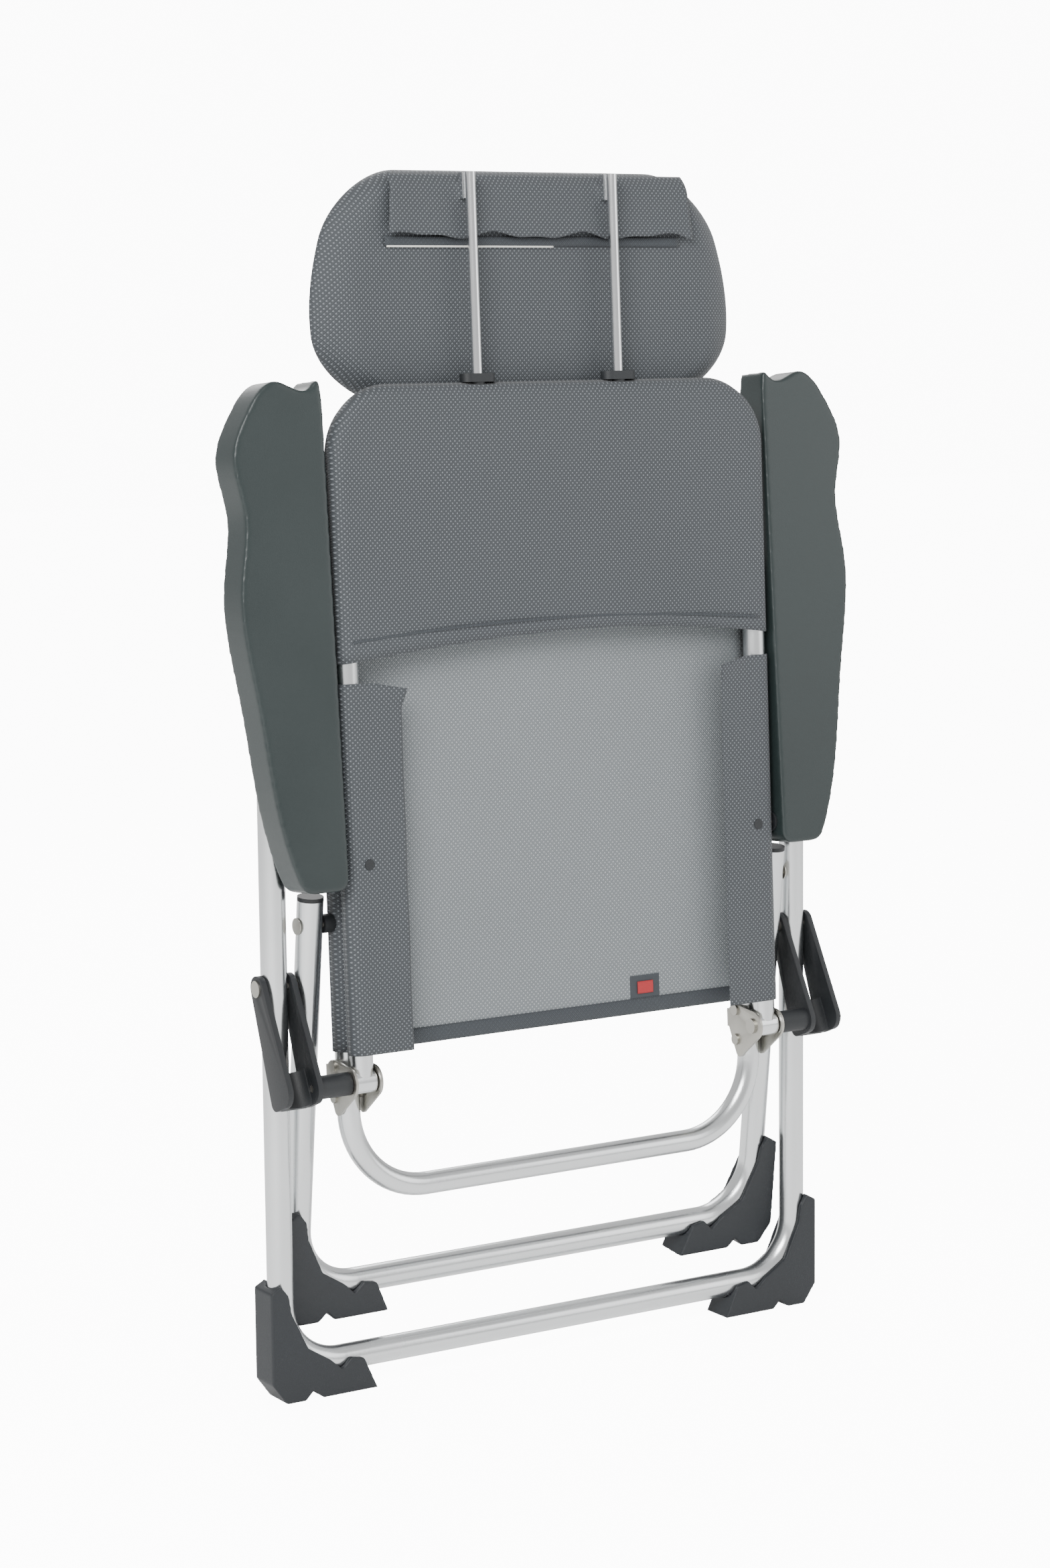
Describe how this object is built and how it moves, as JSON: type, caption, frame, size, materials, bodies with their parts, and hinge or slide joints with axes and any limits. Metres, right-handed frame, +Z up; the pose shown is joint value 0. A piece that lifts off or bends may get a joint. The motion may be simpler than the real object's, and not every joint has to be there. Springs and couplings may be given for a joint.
{
  "type": "folding camp chair",
  "caption": "Reclining camping armchair with U-shaped tube legs, side links, sliding headrest and mesh seat, shown folded flat and standing on its rear leg frame.",
  "frame": {"origin": "on the floor, in the middle plane, in the plane of the outer leg frame", "axes": "+Z up, +Y towards the chair's front, X across the chair"},
  "size_m": [0.6822, 0.1199, 1.1521],
  "materials": {
    "leg_tube": "bright anodised tube",
    "frame_tube": "bright anodised tube",
    "black_plastic": "moulded, fine grain",
    "zinc_steel": "zinc plated",
    "rod_steel": "polished",
    "grey_plastic": "moulded, satin",
    "mesh_cloth": "woven coated mesh",
    "hem_cloth": "woven coated mesh, outer face",
    "pad_cloth": "padded woven mesh",
    "label_cloth": "woven tag"
  },
  "bodies": {
    "outer_legs": {"outer_leg_tube": "leg_tube", "outer_foot_left": "black_plastic", "outer_foot_right": "black_plastic", "outer_leg_caps": "black_plastic", "rack_pins": "zinc_steel"},
    "side_links": {"side_link_left": "black_plastic", "side_link_right": "black_plastic", "link_rivets": "zinc_steel"},
    "seat": {"seat_frame_tube": "frame_tube", "seat_mesh": "mesh_cloth", "hinge_bracket_left": "zinc_steel", "hinge_bracket_right": "zinc_steel", "bracket_rivets": "zinc_steel", "hinge_pins": "zinc_steel", "inner_leg_bolts": "zinc_steel", "inner_leg_spacers": "black_plastic"},
    "inner_legs": {"inner_leg_tube": "leg_tube", "inner_foot_left": "black_plastic", "inner_foot_right": "black_plastic", "inner_leg_caps": "black_plastic"},
    "backrest": {"back_hinge_bushes": "black_plastic", "back_frame_tube": "frame_tube", "back_tube_ends": "frame_tube", "back_mesh": "mesh_cloth", "back_pocket": "hem_cloth", "back_hem_left": "hem_cloth", "back_hem_right": "hem_cloth", "care_label": "label_cloth", "armrest_bolts": "zinc_steel", "rod_bushes": "black_plastic"},
    "armrests": {"armrest_bushes": "black_plastic", "armrest_left": "grey_plastic", "armrest_right": "grey_plastic", "recline_rack_left": "zinc_steel", "recline_rack_right": "zinc_steel"},
    "headrest": {"headrest_rods": "rod_steel", "rod_tabs": "rod_steel", "headrest_pad": "pad_cloth", "headrest_flap": "hem_cloth"}
  },
  "joints": [
    {"name": "unfold", "type": "hinge", "parent": "outer_legs", "child": "side_links", "pos_m": [0, 0, 0.396], "axis": [-1, 0, 0], "range_deg": [0, 150]},
    {"name": "seat_swing", "type": "hinge", "parent": "side_links", "child": "seat", "pos_m": [0, -0.045, 0.306], "axis": [1, 0, 0], "range_deg": [0, 111.8]},
    {"name": "inner_leg_swing", "type": "hinge", "parent": "seat", "child": "inner_legs", "pos_m": [0, -0.01007, 0.45262], "axis": [1, 0, 0], "range_deg": [0, 97]},
    {"name": "back_rise", "type": "hinge", "parent": "seat", "child": "backrest", "pos_m": [0, -0.045, 0.306], "axis": [1, 0, 0], "range_deg": [0, 99.5]},
    {"name": "armrest_swing", "type": "hinge", "parent": "backrest", "child": "armrests", "pos_m": [0, -0.0361, 0.50981], "axis": [1, 0, 0], "range_deg": [-105, 0]},
    {"name": "headrest_slide", "type": "slide", "parent": "backrest", "child": "headrest", "axis": [0, 0.0436, 0.999], "range_m": [-0.12, 0]}
  ],
  "couplings": [
    {"joint": "seat_swing", "follows": "unfold", "ratio": 0.74533},
    {"joint": "inner_leg_swing", "follows": "unfold", "ratio": 0.64667},
    {"joint": "back_rise", "follows": "unfold", "ratio": 0.66333},
    {"joint": "armrest_swing", "follows": "unfold", "ratio": -0.7}
  ]
}
